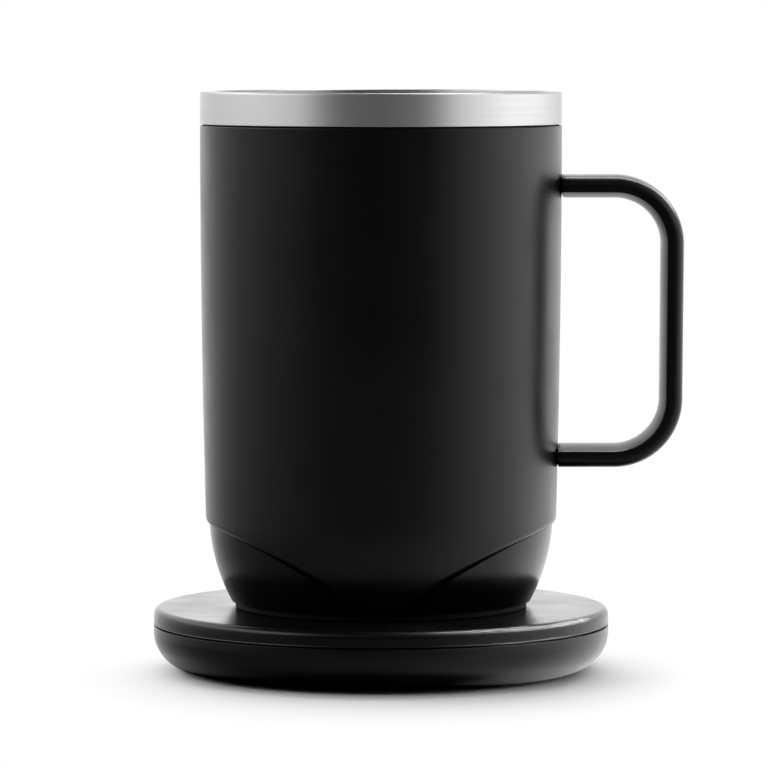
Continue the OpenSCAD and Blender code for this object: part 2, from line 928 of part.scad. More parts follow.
module board_screws() {
    color(steel)
        on_mug()
            around(board_screw_angles, board_screw_ring)
                translate([0, 0, main_board_top])
                    mirror([0, 0, 1])
                        screw_up(board_screw_r, board_screw_l, board_head_r, m2_head_h);
}

module heater_leads() {
    top = main_board_top + connector[2] + lead_gap;
    drop_y = -spreader_r - 2;
    end_x = connector_at[0] - 1.4;
    end_y = -connector_at[1];
    color(red)
        on_mug()
            for (s = [-1, 1])
                wire(spline([
                    [s * (end_x - 0.4), drop_y + 1.5, heater_h - 0.6], [s * end_x, drop_y, heater_h - 2.5],
                    [s * (end_x + 0.2), drop_y - 0.5, cell_h + 2], [s * end_x, drop_y + 0.5, tray_low_h + 6],
                    [s * end_x, end_y - 0.3, top + 1.2], [s * end_x, end_y, top]
                ]), 0.6, [1, 0.2, 0]);
}

module sensor_leads() {
    top = main_board_top + connector[2] + lead_gap;
    run_h = pad_stack_h + 0.9;
    drop_y = -spreader_r - 1.5;
    end_x = connector_at[0] + 1.1;
    end_y = -connector_at[1];
    color([0.9, 0.9, 0.85])
        on_mug()
            for (s = [-1, 1])
                wire(spline([
                    [s * 1, -1.5, heater_h - 0.4], [s * 1, -5, run_h], [s * 1, 9 - spreader_r, run_h],
                    [s * 5, 3 - spreader_r, run_h - 0.8], [s * (end_x - 0.5), drop_y, plate_h - 3],
                    [s * end_x, drop_y, tray_low_h + 8], [s * end_x, end_y - 0.4, top + 1.2],
                    [s * end_x, end_y, top]
                ]), 0.4, [1, -0.35, 0.12]);
}

module battery_leads() {
    end_y = cell_l / 2 + link_t;
    out_y = tray_y + 1;
    color(red)
        on_mug()
            for (s = [-1, 1])
                wire(spline([
                    [s * cell_pitch, s * (end_y + 0.7), cell_h + 3.5], [s * cell_pitch, s * out_y, cell_h + 2],
                    [s * (cell_pitch - 1), s * out_y, tray_low_h + 6], [s * 14.5, s * out_y, main_board_top + 2.5],
                    [s * 14, s * out_y, main_board_top + lead_gap]
                ]), 0.7, [1, -0.2, 0.1]);
}

module power_button() {
    edge = 0.3;
    color(grey)
        on_mug()
            translate([0, button_ring, 0])
                turned([
                    [0, button_face_h + 0.15], [button_r - 1.4, button_face_h + 0.15], [button_r - 1, button_face_h],
                    [button_r - edge, button_face_h], [button_r, button_face_h + edge], [button_r, flange_h],
                    [button_flange_r, flange_h], [button_flange_r, button_top_h], [0, button_top_h]
                ]);
}

module switch_stem() {
    color(black)
        on_mug()
            translate([0, button_ring, 0])
                rod(stem_r, button_top_h, switch_low_h + stem_in);
}

module switch_body() {
    color(grey)
        on_mug()
            translate([0, button_ring, 0])
                difference() {
                    translate([-switch_w / 2, -switch_w / 2, switch_low_h])
                        cube([switch_w, switch_w, main_board_h - switch_low_h]);
                    rod(stem_r + slide_fit, switch_low_h - over, switch_low_h + stem_in + button_travel + 0.2);
                }
}

module coaster_cover() {
    lip_r = coaster_r - coaster_wall - lip_fit;
    seat_r = coaster_r - seam_depth;
    groove_z = seam_z + seam_gap;
    boss_r = boss_d / 2;
    edge_z = mug_z - coaster_edge_r;
    color(coat)
        difference() {
            union() {
                turned(concat(
                    [[0, cover_under_z], [lip_r - lip_t, cover_under_z], [lip_r - lip_t, seam_z - lip_drop],
                        [lip_r, seam_z - lip_drop], [lip_r, seam_z], [seat_r, seam_z], [seat_r, groove_z],
                        [coaster_r, groove_z]],
                    arc(coaster_r - coaster_edge_r, edge_z, coaster_edge_r, 0, 90),
                    [[boss_r, mug_z], [boss_r - boss_chamfer, boss_top_z], [0, boss_top_z]]
                ));
                around(coaster_screw_angles, coaster_screw_ring)
                    rod(coaster_post_r, coaster_floor_z + coaster_post_foot, cover_under_z + over);
            }
            around(coaster_screw_angles, coaster_screw_ring)
                rod(m3_r, coaster_floor_z, cover_under_z - 1);
            for (x = [pin_inner_x, -pin_outer_x])
                translate([x, 0, 0])
                    rod(barrel_r + 0.05, cover_under_z - over, boss_top_z + over);
            inlet_bar(inlet_w + 0.4, inlet_t + 0.4, inlet_front_y - inlet_l - over, coaster_r);
        }
}

// The outline of the inlet's shell, lying flat
module inlet_outline(w, t) {
    translate([-(w - t) / 2, -t / 2])
        square([w - t, t]);
    for (s = [-1, 1])
        translate([s * (w - t) / 2, 0])
            circle(d = t, $fn = small);
}

// A bar with the inlet's outline, running along Y
module inlet_bar(w, t, from, to) {
    translate([0, to, inlet_z])
        rotate([90, 0, 0])
            linear_extrude(height = to - from)
                inlet_outline(w, t);
}

module coaster_base() {
    in_r = coaster_r - coaster_wall;
    belly_z = shell_z + coaster_belly_r;
    color(coat)
        difference() {
            union() {
                turned(concat(
                    [[0, shell_z]],
                    arc(belly_x, belly_z, coaster_belly_r, -90, 0),
                    [[coaster_r, seam_z], [in_r, seam_z]],
                    arc(belly_x, belly_in_z, belly_in_r, 0, -90),
                    [[0, coaster_floor_z]]
                ));
                around(coaster_screw_angles, coaster_screw_ring)
                    rod(coaster_post_r + 1, coaster_floor_z - over, coaster_floor_z + coaster_post_foot);
                for (p = coaster_board_holes)
                    translate([p[0], p[1], 0])
                        rod(board_post_r, coaster_floor_z - over, coaster_board_z);
            }
            rod(pad_d / 2 + 0.1, shell_z - over, pad_seat_z);
            around(coaster_screw_angles, coaster_screw_ring) {
                rod(m3_r + screw_fit, pad_seat_z - over, seam_z);
                rod(head_r + screw_fit, pad_seat_z - over, pad_seat_z + head_h);
            }
            for (p = coaster_board_holes)
                translate([p[0], p[1], 0])
                    rod(board_screw_r, coaster_floor_z - over, coaster_board_z + over);
            inlet_bar(inlet_w + 0.4, inlet_t + 0.4, inlet_front_y - coaster_wall - 1, coaster_r + over);
        }
}

module non_slip_pad() {
    edge = 0.3;
    pad_r = pad_d / 2;
    color(black)
        turned([[0, 0], [pad_r - edge, 0], [pad_r, edge], [pad_r, pad_t], [0, pad_t]]);
}

module coaster_screws() {
    color(steel)
        around(coaster_screw_angles, coaster_screw_ring)
            translate([0, 0, pad_seat_z + head_h])
                difference() {
                    screw_up(m3_r, coaster_screw_l, head_r, head_h);
                    translate([0, 0, -head_h - over])
                        cylinder(r = 1.2, h = over + 0.8, $fn = 6);
                }
}

module coaster_board() {
    color(green)
        translate([0, 0, coaster_board_z])
            difference() {
                union() {
                    cylinder(r = coaster_board_r, h = board_t, $fn = fine);
                    translate([-coaster_board_w / 2, 0, 0])
                        cube([coaster_board_w, coaster_board_end, board_t]);
                }
                for (p = coaster_board_holes)
                    translate([p[0], p[1], -over])
                        cylinder(r = m2_r + 0.1, h = board_t + 2 * over, $fn = small);
            }
}

module coaster_board_screws() {
    color(steel)
        for (p = coaster_board_holes)
            translate([p[0], p[1], coaster_board_top])
                mirror([0, 0, 1])
                    screw_up(board_screw_r, coaster_board_screw_l, board_head_r, m2_head_h);
}

module coaster_chip() {
    chip = [6, 6, 1];
    color(black)
        translate([-3, 12, coaster_board_top])
            difference() {
                cube(chip);
                translate([1, 1, chip[2]])
                    cylinder(r = 0.4, h = 0.3, center = true, $fn = small);
            }
}

module coaster_coil() {
    coil = [8, 8, 4];
    color(grey)
        translate([-4, 21, coaster_board_top])
            difference() {
                cube(coil);
                translate([coil[0] / 2, coil[1] / 2, coil[2]])
                    cylinder(r = 2.8, h = 0.6, center = true, $fn = small);
            }
}

module contact_barrels() {
    color(gold)
        for (x = [pin_inner_x, -pin_outer_x])
            translate([x, 0, 0])
                turned([
                    [0, coaster_board_top], [barrel_r, coaster_board_top], [barrel_r, barrel_top_z],
                    [pin_r + slide_fit, barrel_top_z], [pin_r + slide_fit, shoulder_top_z],
                    [barrel_bore_r, shoulder_top_z], [barrel_bore_r, barrel_floor_z], [0, barrel_floor_z]
                ]);
}

module contact_pin(x) {
    tip = 0.25;
    color(gold)
        translate([x, 0, 0])
            turned([
                [0, shoulder_top_z - shoulder_h], [shoulder_r, shoulder_top_z - shoulder_h],
                [shoulder_r, shoulder_top_z], [pin_r, shoulder_top_z], [pin_r, pin_tip_z - tip],
                [pin_r - tip, pin_tip_z], [0, pin_tip_z]
            ]);
}

module contact_pin_inner() {
    contact_pin(pin_inner_x);
}

module contact_pin_outer() {
    contact_pin(-pin_outer_x);
}

module contact_spring(x) {
    coil_r = barrel_bore_r - spring_wire_r - slide_fit;
    low = barrel_floor_z + spring_wire_r;
    high = shoulder_top_z - shoulder_h - spring_wire_r;
    steps = spring_turns * 14;
    color(steel)
        translate([x, 0, 0])
            wire(
                [for (i = [0:steps])
                    let (a = 360 * spring_turns * i / steps)
                    [coil_r * cos(a), coil_r * sin(a), low + (high - low) * i / steps]],
                spring_wire_r, [0, 0, 1], 6
            );
}

module contact_spring_inner() {
    contact_spring(pin_inner_x);
}

module contact_spring_outer() {
    contact_spring(-pin_outer_x);
}

module inlet_shell() {
    color(steel)
        difference() {
            inlet_bar(inlet_w, inlet_t, inlet_front_y - inlet_l, inlet_front_y);
            inlet_bar(inlet_w - 2 * inlet_wall, inlet_t - 2 * inlet_wall, inlet_front_y - inlet_l + 0.4, coaster_r);
        }
}

module inlet_tongue() {
    tongue = [6.7, 4.6, 0.7];
    block_l = 1.6;
    back_y = inlet_front_y - inlet_l + 0.4;
    color(black) {
        inlet_bar(inlet_w - 2 * inlet_wall, inlet_t - 2 * inlet_wall, back_y, back_y + block_l);
        translate([-tongue[0] / 2, back_y + block_l - 0.1, inlet_z - tongue[2] / 2])
            cube(tongue);
    }
}

outer_shell();
rim_band();
rim_seal();
inner_liner();
handle();
handle_seats();
handle_screws();
base_housing();
base_seal();
foot_ring();
base_cover();
cover_screws();
chassis_screws();
heat_spreader();
film_heater();
temperature_sensor();
insulation_pad();
clamp_plate();
plate_clips();
battery_cells();
cell_links();
battery_tray();
battery_cushion();
tray_screws();
main_board();
control_chip();
radio_can();
board_connectors();
status_led();
board_screws();
heater_leads();
sensor_leads();
battery_leads();
contact_ring_inner();
contact_ring_outer();
power_button();
switch_stem();
switch_body();
coaster_cover();
coaster_base();
non_slip_pad();
coaster_screws();
coaster_board();
coaster_board_screws();
coaster_chip();
coaster_coil();
contact_barrels();
contact_pin_inner();
contact_pin_outer();
contact_spring_inner();
contact_spring_outer();
inlet_shell();
inlet_tongue();
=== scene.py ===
import json
import math

import bmesh
import bpy
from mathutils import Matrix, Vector


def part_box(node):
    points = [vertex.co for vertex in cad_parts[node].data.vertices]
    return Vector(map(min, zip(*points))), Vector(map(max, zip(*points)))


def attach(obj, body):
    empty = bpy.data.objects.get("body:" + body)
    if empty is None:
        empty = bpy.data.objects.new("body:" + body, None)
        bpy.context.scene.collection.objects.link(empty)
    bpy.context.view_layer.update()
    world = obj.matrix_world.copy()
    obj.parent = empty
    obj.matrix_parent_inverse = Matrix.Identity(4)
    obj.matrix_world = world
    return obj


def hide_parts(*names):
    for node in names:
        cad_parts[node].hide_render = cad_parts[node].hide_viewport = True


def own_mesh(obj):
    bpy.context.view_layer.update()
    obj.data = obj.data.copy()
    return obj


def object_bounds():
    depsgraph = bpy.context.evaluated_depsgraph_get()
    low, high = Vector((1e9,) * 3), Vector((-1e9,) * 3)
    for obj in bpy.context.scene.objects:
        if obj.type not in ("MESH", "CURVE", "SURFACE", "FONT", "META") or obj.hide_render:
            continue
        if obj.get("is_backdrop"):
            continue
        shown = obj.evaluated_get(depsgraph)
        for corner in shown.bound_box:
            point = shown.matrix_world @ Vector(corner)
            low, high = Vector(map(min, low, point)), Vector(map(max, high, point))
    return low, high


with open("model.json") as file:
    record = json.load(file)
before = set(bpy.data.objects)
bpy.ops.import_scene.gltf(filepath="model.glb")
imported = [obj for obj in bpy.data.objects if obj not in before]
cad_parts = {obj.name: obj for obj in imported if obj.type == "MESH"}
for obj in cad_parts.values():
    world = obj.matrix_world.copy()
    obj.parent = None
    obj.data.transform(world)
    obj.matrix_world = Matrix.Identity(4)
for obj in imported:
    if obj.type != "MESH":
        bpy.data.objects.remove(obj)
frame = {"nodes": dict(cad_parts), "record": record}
cad_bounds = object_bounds()
MM = 0.001

# Coaster: radii, and heights above the table
COASTER_R = 54.3
COASTER_WALL = 2.0
BELLY_R = 9.0
SHELL_Z = 0.6
FLOOR_T = 2.4
PAD_SEAT_R = 41.1
PAD_SEAT_Z = 1.5
SEAM_Z = 11.3
MUG_Z = 15.3
COVER_T = 2.4
COVER_EDGE_R = 1.6
COVER_LIP_FIT = 0.2
COVER_LIP_T = 2.0
COVER_LIP_DROP = 2.0
BOSS_R = 13.5
BOSS_H = 1.0
BOSS_CHAMFER = 0.5
GROOVE = 0.45
GROOVE_DROP = 0.2
BEAD = 0.07
BEAD_SOFT = 0.03
BASE_EDGE_R = 0.08

# Charging pins and inlet
PIN_X = (4.5, -9.5)
BARREL_HOLE_R = 1.55
SPRING_WIRE_R = 0.14
SPRING_TURNS = 7
INLET_Z = 8.23
INLET_SLOT_W = 9.34
INLET_SLOT_H = 3.66

# Rim band and drinking cup
MUG_H = 122.8
RIM_R = 43.0
RIM_EDGE_R = 0.45
LIP_R = 0.25
BAND_LOW = 115.1
BAND_T = 0.7
BAND_EDGE_R = 0.15
LINER_R = 39.6
LINER_T = 0.7
LINER_TOP = 121.8
CUP_FLOOR = 33.4
CUP_CORNER = 6.0
CUP_MIDDLE_R = 20.0

# Coated shell, bowl and the seam between them
SHELL_TOP = 114.75
SHELL_T = 0.75
SHELL_TOP_EDGE_R = 0.2
HEM_H = 1.5
HEM_IN = 0.7
BODY_TAPER = 1.2
BOWL_H = 21.5
BOWL_R = 44.5
SEAM_SIDE_H = 20.4
SEAM_R = 93.0
SEAM_SLOPE = math.radians(13.2)
SEAM_BLEND = 0.4
TONGUE_TIP = 2.8
SEAM_GROOVE = 0.6
SEAM_GROOVE_UP = 0.3
SEAM_GROOVE_IN = 1.5
SEAM_GROOVE_EDGE = 0.12
HOUSING_INSET = 0.83
HOUSING_WALL = 2.0
SPIGOT_H = BOWL_H + 4.5
FOOT_SIDE = 1.6
BASE_COVER_SEAT_R = 33.1
FLANGE_R = 30.1
FLANGE_LOW = 2.5
FLANGE_TOP = 4.0

# Handle: section of its strap, and the line along the middle of the strap's edge
STRAP_W = 15.6
STRAP_EDGE_T = 3.5
CROWN_IN = 1.5
CROWN_OUT = 0.55
STRAP_EDGE_R = 2.3
STRAP_SOFT = 0.3
HANDLE_X = 69.85
HANDLE_LEAN = 0.45
HANDLE_TOP = 100.8
HANDLE_LOW = 35.75
HANDLE_BEND = 14.2
HANDLE_ROOT_X = RIM_R - 6
SEAT_T = 0.35

# Height of the body's taper, and the bowl's arc that carries on from it
TAPER_RUN = BAND_LOW - BOWL_H
BOWL_START = math.atan(2 * BODY_TAPER / TAPER_RUN)
BOWL_AXIS_R = RIM_R - BODY_TAPER - BOWL_R * math.cos(BOWL_START)
BOWL_AXIS_H = BOWL_H + BOWL_R * math.sin(BOWL_START)

# Edges that bend more than this stay sharp, and points nearer to the axis than this are on it
SHARP_ANGLE = math.radians(32)
ON_AXIS = 1e-6


# Curves
def body_r(h):
    """Outer radius of the coated body at height h above the foot."""
    if h >= BOWL_H:
        return RIM_R - BODY_TAPER * (max(0.0, BAND_LOW - h) / TAPER_RUN) ** 2
    return BOWL_AXIS_R + math.sqrt(BOWL_R**2 - (BOWL_AXIS_H - h) ** 2)


def seam_h(angle):
    """Height of the shell's lower edge at an angle about the axis.

    A curve that falls from each side blends into the tongue's tip at the front and at the back.
    """
    first_guess, passes = 10.0, 30
    centre_x = body_r(SEAM_SIDE_H) + SEAM_R * math.sin(SEAM_SLOPE)
    centre_h = SEAM_SIDE_H - SEAM_R * math.cos(SEAM_SLOPE)
    h = first_guess
    for _ in range(passes):
        x = abs(math.cos(angle)) * body_r(h)
        arch = centre_h + math.sqrt(max(0.0, SEAM_R**2 - (x - centre_x) ** 2))
        h = SEAM_BLEND * math.log(math.exp(arch / SEAM_BLEND) + math.exp(TONGUE_TIP / SEAM_BLEND))
    return h


def arc(x, z, r, start, end, steps):
    """Points of an arc about (x, z), with angles in degrees."""
    turn = (end - start) / steps
    angles = [math.radians(start + turn * i) for i in range(steps + 1)]
    return [(x + r * math.cos(a), z + r * math.sin(a)) for a in angles]


def circle(x, z, r, sides):
    """Points of a whole circle about (x, z), each point once."""
    return arc(x, z, r, 0, 360 - 360 / sides, sides - 1)


def side(inset, low, high, steps):
    """Points of the body's side, set in from the coated surface."""
    heights = [low + (high - low) * i / steps for i in range(steps + 1)]
    return [(body_r(h) - inset, h) for h in heights]


def rounded(corners, steps):
    """A profile whose corners (r, z, fillet) are rounded, with a close point beside each rounding."""
    beside = 0.4
    points = []
    count = len(corners)
    for i, (x, z, fillet) in enumerate(corners):
        if fillet <= 0:
            points.append((x, z))
            continue
        here = Vector((x, z))
        before = Vector(corners[(i - 1) % count][:2]) - here
        after = Vector(corners[(i + 1) % count][:2]) - here
        half = before.angle(after) / 2
        reach = fillet / math.tan(half)
        back, ahead = before.normalized(), after.normalized()
        centre = here + (back + ahead).normalized() * fillet / math.sin(half)
        first = here + back * reach
        last = here + ahead * reach
        a = (first - centre).normalized()
        b = (last - centre).normalized()
        turn = a.angle(b)
        points.append(tuple(first + back * reach * beside))
        for k in range(steps + 1):
            t = k / steps
            mix = (a * math.sin((1 - t) * turn) + b * math.sin(t * turn)) / math.sin(turn)
            points.append(tuple(centre + mix * fillet))
        points.append(tuple(last + ahead * reach * beside))
    return points


# Meshes
def smooth(mesh):
    """Smooth shading that keeps the sharp edges."""
    mesh.shade_smooth()
    mesh.set_sharp_from_angle(angle=SHARP_ANGLE)


def make(name, verts, faces, lift=0.0):
    """A smooth-shaded mesh object from points in millimetres."""
    mesh = bpy.data.meshes.new(name)
    mesh.from_pydata([(x * MM, y * MM, (z + lift) * MM) for x, y, z in verts], [], faces)
    mesh.validate()
    bm = bmesh.new()
    bm.from_mesh(mesh)
    bmesh.ops.recalc_face_normals(bm, faces=bm.faces)
    bm.to_mesh(mesh)
    bm.free()
    smooth(mesh)
    obj = bpy.data.objects.new(name, mesh)
    bpy.context.scene.collection.objects.link(obj)
    return obj


def ring_faces(rings, sides, closed):
    """Faces between successive rings of points; a row that isn't closed gets a cap at both ends."""
    faces = []
    for i in range(rings if closed else rings - 1):
        here = i * sides
        there = (i + 1) % rings * sides
        for k in range(sides):
            n = (k + 1) % sides
            faces.append((here + k, here + n, there + n, there + k))
    if not closed:
        faces.append(tuple(range(sides)))
        faces.append(tuple(range((rings - 1) * sides, rings * sides)))
    return faces


def lathe(name, profile, lift=0.0, columns=288):
    """A turned solid from a profile of (radius, height); a radius of zero is on the axis."""
    verts, rows, faces = [], [], []
    for r, z in profile:
        if r < ON_AXIS:
            rows.append([len(verts)] * columns)
            verts.append((0, 0, z))
            continue
        rows.append(list(range(len(verts), len(verts) + columns)))
        for k in range(columns):
            a = 2 * math.pi * k / columns
            verts.append((r * math.cos(a), r * math.sin(a), z))
    starts_on_axis = profile[0][0] < ON_AXIS
    bands = len(rows) - 1 if starts_on_axis else len(rows)
    for i in range(bands):
        low, high = rows[i], rows[(i + 1) % len(rows)]
        for k in range(columns):
            n = (k + 1) % columns
            face = [low[k], low[n], high[n], high[k]]
            faces.append(tuple(dict.fromkeys(face)))
    return make(name, verts, faces, lift)


def wrap(name, column_at, columns=480):
    """A closed ring on the mug whose profile of (radius, height) depends on the angle about the axis."""
    angles = [2 * math.pi * k / columns for k in range(columns)]
    rings = [column_at(a) for a in angles]
    verts = [(r * math.cos(a), r * math.sin(a), h) for a, ring in zip(angles, rings) for r, h in ring]
    return make(name, verts, ring_faces(columns, len(rings[0]), closed=True), MUG_Z)


def loft(name, rings, lift=0.0):
    """A solid through a row of rings of points."""
    verts = [point for ring in rings for point in ring]
    return make(name, verts, ring_faces(len(rings), len(rings[0]), closed=False), lift)


def cut(obj, cutter):
    """Cuts one mesh from another and removes the cutter."""
    modifier = obj.modifiers.new("cut", "BOOLEAN")
    modifier.object = cutter
    modifier.solver = "EXACT"
    bpy.context.view_layer.update()
    graph = bpy.context.evaluated_depsgraph_get()
    mesh = bpy.data.meshes.new_from_object(obj.evaluated_get(graph))
    obj.modifiers.clear()
    obj.data = mesh
    smooth(mesh)
    bpy.data.objects.remove(cutter)


# Pieces of the mug
def outer_shell():
    """The coated sleeve, rounded at its top and along its scalloped lower edge."""
    edge = SHELL_TOP_EDGE_R
    top_r = body_r(SHELL_TOP)
    hem_steps = 10

    def column_at(angle):
        low = seam_h(angle)
        column = [(top_r - SHELL_T, SHELL_TOP), (top_r - edge, SHELL_TOP)]
        column += arc(top_r - edge, SHELL_TOP - edge, edge, 90, 0, steps=4)[1:]
        column += side(0, SHELL_TOP - 2 * edge, low + HEM_H + edge, steps=70)
        for i in range(hem_steps + 1):
            a = math.radians(90 / hem_steps * i)
            h = low + HEM_H * (1 - math.sin(a))
            column.append((body_r(h) - HEM_IN * (1 - math.cos(a)), h))
        column += side(SHELL_T, low, SHELL_TOP, steps=20)[:-1]
        return column

    return wrap("shell_coated", column_at)


def rim_band():
    """The bare steel band, turned in over the mouth to meet the drinking cup."""
    inner_r = RIM_R - BAND_T
    corners = [
        (inner_r, BAND_LOW, 0),
        (RIM_R, BAND_LOW, BAND_EDGE_R),
        (RIM_R, MUG_H, RIM_EDGE_R),
        (LINER_R, MUG_H, LIP_R),
        (LINER_R, LINER_TOP, 0),
        (inner_r, LINER_TOP, 0),
    ]
    return lathe("rim_band_steel", rounded(corners, steps=8), MUG_Z)


def inner_liner():
    """The drinking cup, with a rounded corner round its floor."""
    top_support = 2.0
    corner_r, corner_h = LINER_R - CUP_CORNER, CUP_FLOOR + CUP_CORNER
    under = CUP_FLOOR - LINER_T
    profile = [(0, under), (CUP_MIDDLE_R, under)]
    profile += arc(corner_r, corner_h, CUP_CORNER + LINER_T, -90, 0, steps=16)
    profile += [(LINER_R + LINER_T, LINER_TOP), (LINER_R, LINER_TOP)]
    profile += [(LINER_R, LINER_TOP - top_support)]
    profile += arc(corner_r, corner_h, CUP_CORNER, 0, -90, steps=24)
    profile += [(CUP_MIDDLE_R, CUP_FLOOR), (0, CUP_FLOOR)]
    return lathe("liner_steel", profile, MUG_Z)


def base_housing():
    """The bowl, with a groove under the shell's lower edge that narrows towards the sides."""
    narrow_from, narrow_run, least_share = 0.58, 0.3, 0.2
    inside = list(reversed(side(HOUSING_INSET + HOUSING_WALL, FLANGE_TOP, SPIGOT_H, steps=20)))
    inside += [(FLANGE_R, FLANGE_TOP), (FLANGE_R, FLANGE_LOW), (BASE_COVER_SEAT_R, FLANGE_LOW)]

    def column_at(angle):
        frontal = (abs(math.sin(angle)) - narrow_from) / narrow_run
        edge = seam_h(angle) - SEAM_GROOVE * min(1, max(least_share, frontal))
        edge_r = body_r(edge)
        top = seam_h(angle) + SEAM_GROOVE_UP
        column = [(BASE_COVER_SEAT_R, FOOT_SIDE)]
        column += side(HOUSING_INSET, FOOT_SIDE, edge - SEAM_GROOVE_EDGE, steps=40)
        column += [(edge_r - HOUSING_INSET - SEAM_GROOVE_EDGE, edge), (edge_r - SEAM_GROOVE_IN, edge)]
        column += [(body_r(top) - SEAM_GROOVE_IN, top)]
        column += side(HOUSING_INSET, top, SPIGOT_H, steps=12)
        return column + inside

    return wrap("base_housing_bowl", column_at)


def strap_section(inset):
    """Outline of the strap, (outward, towards the front), set in a little where it ends."""
    edge_shares = (0.35, 0.65)
    half_w, half_t = STRAP_W / 2, STRAP_EDGE_T / 2
    in_r = (half_w**2 + CROWN_IN**2) / (2 * CROWN_IN)
    out_r = (half_w**2 + CROWN_OUT**2) / (2 * CROWN_OUT)
    in_x, out_x = in_r - half_t - CROWN_IN, half_t + CROWN_OUT - out_r
    edge_y = half_w - STRAP_EDGE_R
    edge_x = out_x + math.sqrt((out_r - STRAP_EDGE_R) ** 2 - edge_y**2)
    soft_y = half_w - STRAP_SOFT
    soft_x = in_x - math.sqrt((in_r - STRAP_SOFT) ** 2 - soft_y**2)
    out_end = math.degrees(math.atan2(edge_y, edge_x - out_x))
    in_end = math.degrees(math.atan2(soft_y, soft_x - in_x))
    front = arc(edge_x, edge_y, STRAP_EDGE_R, out_end, 90, steps=10)[1:]
    front += [(edge_x + (soft_x - edge_x) * share, half_w) for share in edge_shares]
    front += arc(soft_x, soft_y, STRAP_SOFT, 90, in_end, steps=6)
    points = arc(out_x, 0, out_r, -out_end, out_end, steps=20) + front
    points += arc(in_x, 0, in_r, in_end, 360 - in_end, steps=28)[1:-1]
    points += [(u, -v) for u, v in reversed(front)]
    return [(u * (1 - inset / half_t), v * (1 - inset / half_w)) for u, v in points]


def handle():
    """The strap bent through its two corners, with ends hollowed to the shell."""
    corners = [
        (HANDLE_ROOT_X, HANDLE_TOP, 0),
        (HANDLE_X, HANDLE_TOP, HANDLE_BEND),
        (HANDLE_X - HANDLE_LEAN, HANDLE_LOW, HANDLE_BEND),
        (HANDLE_ROOT_X, HANDLE_LOW, 0),
    ]
    points = [Vector(p) for p in rounded(corners, steps=40)[1:-1]]
    section = strap_section(0)
    # Rings at each end: distance from the seat, and how far the section is set in
    ends = [(0.0, 0.25), (0.08, 0.08), (0.25, 0.0), (1.5, 0.0)]

    def end_ring(arm_h, outward, offset, inset):
        seat_r = body_r(arm_h) + SEAT_T
        outline = strap_section(inset)
        return [(math.sqrt(seat_r**2 - v**2) + offset, -v, arm_h + outward * u) for u, v in outline]

    rings = [end_ring(HANDLE_TOP, 1, *end) for end in ends]
    last = len(points) - 1
    for i, p in enumerate(points):
        along = (points[min(i + 1, last)] - points[max(i - 1, 0)]).normalized()
        if i in (0, last):
            along = Vector((1 if i == 0 else -1, 0))
        out = Vector((-along.y, along.x))
        rings.append([(p.x + out.x * u, -v, p.y + out.y * u) for u, v in section])
    rings += [end_ring(HANDLE_LOW, -1, *end) for end in reversed(ends)]
    return loft("handle_strap", rings, MUG_Z)


# Pieces of the coaster
def coaster_cover():
    """The cover with its raised boss, its pin holes and a fine bead along its lower edge."""
    lip_r = COASTER_R - COASTER_WALL - COVER_LIP_FIT
    lip_z = SEAM_Z - COVER_LIP_DROP
    side_r = COASTER_R - BEAD
    low_z = SEAM_Z + GROOVE - GROOVE_DROP
    under_z = MUG_Z - COVER_T
    boss_z = MUG_Z + BOSS_H
    boss_foot_soft, boss_edge_soft = 0.15, 0.2
    through_top = (MUG_Z - 4, MUG_Z + 4)
    corners = [
        (lip_r, low_z, 0),
        (COASTER_R, low_z, BEAD_SOFT),
        (COASTER_R, low_z + BEAD, BEAD_SOFT),
        (side_r, low_z + 3 * BEAD, BEAD_SOFT),
        (side_r, MUG_Z, COVER_EDGE_R),
        (BOSS_R, MUG_Z, boss_foot_soft),
        (BOSS_R - BOSS_CHAMFER, boss_z, boss_edge_soft),
        (0, boss_z, 0),
        (0, under_z, 0),
        (lip_r - COVER_LIP_T, under_z, 0),
        (lip_r - COVER_LIP_T, lip_z, 0),
        (lip_r, lip_z, 0),
    ]
    outline = rounded(corners, steps=10)
    start = next(i for i, point in enumerate(outline) if point[0] < ON_AXIS) + 1
    cover = lathe("coaster_cover_disc", outline[start:] + outline[:start])
    for x in PIN_X:
        hole = circle(x, 0, BARREL_HOLE_R, sides=48)
        cut(cover, loft("hole", [[(u, v, z) for u, v in hole] for z in through_top]))
    return cover


def coaster_base():
    """The lower shell with its round belly, the seat of the pad and the slot of the inlet."""
    in_r = COASTER_R - COASTER_WALL
    in_belly_r = BELLY_R - COASTER_WALL
    belly_x = COASTER_R - BELLY_R
    floor_z = SHELL_Z + FLOOR_T
    top_z = SEAM_Z - GROOVE_DROP
    edge_support, inner_support = 0.3, 1.0
    through_wall = (49.0, 57.0)
    profile = [(0, PAD_SEAT_Z), (PAD_SEAT_R - inner_support, PAD_SEAT_Z)]
    profile += [(PAD_SEAT_R, PAD_SEAT_Z), (PAD_SEAT_R, SHELL_Z)]
    profile += arc(belly_x, SHELL_Z + BELLY_R, BELLY_R, -90, 0, steps=32)
    profile += [(COASTER_R, top_z - edge_support)]
    profile += arc(COASTER_R - BASE_EDGE_R, top_z - BASE_EDGE_R, BASE_EDGE_R, 0, 90, steps=5)
    profile += [(in_r, top_z), (in_r, SEAM_Z - inner_support)]
    profile += arc(belly_x, floor_z + in_belly_r, in_belly_r, 0, -90, steps=12)
    profile += [(0, floor_z)]
    base = lathe("coaster_base_shell", profile)
    slot_r = INLET_SLOT_H / 2
    slot_x = INLET_SLOT_W / 2 - slot_r
    slot = arc(slot_x, INLET_Z, slot_r, -90, 90, steps=16)
    slot += arc(-slot_x, INLET_Z, slot_r, 90, 270, steps=16)
    cut(base, loft("slot", [[(u, y, v) for u, v in slot] for y in through_wall]))
    return base


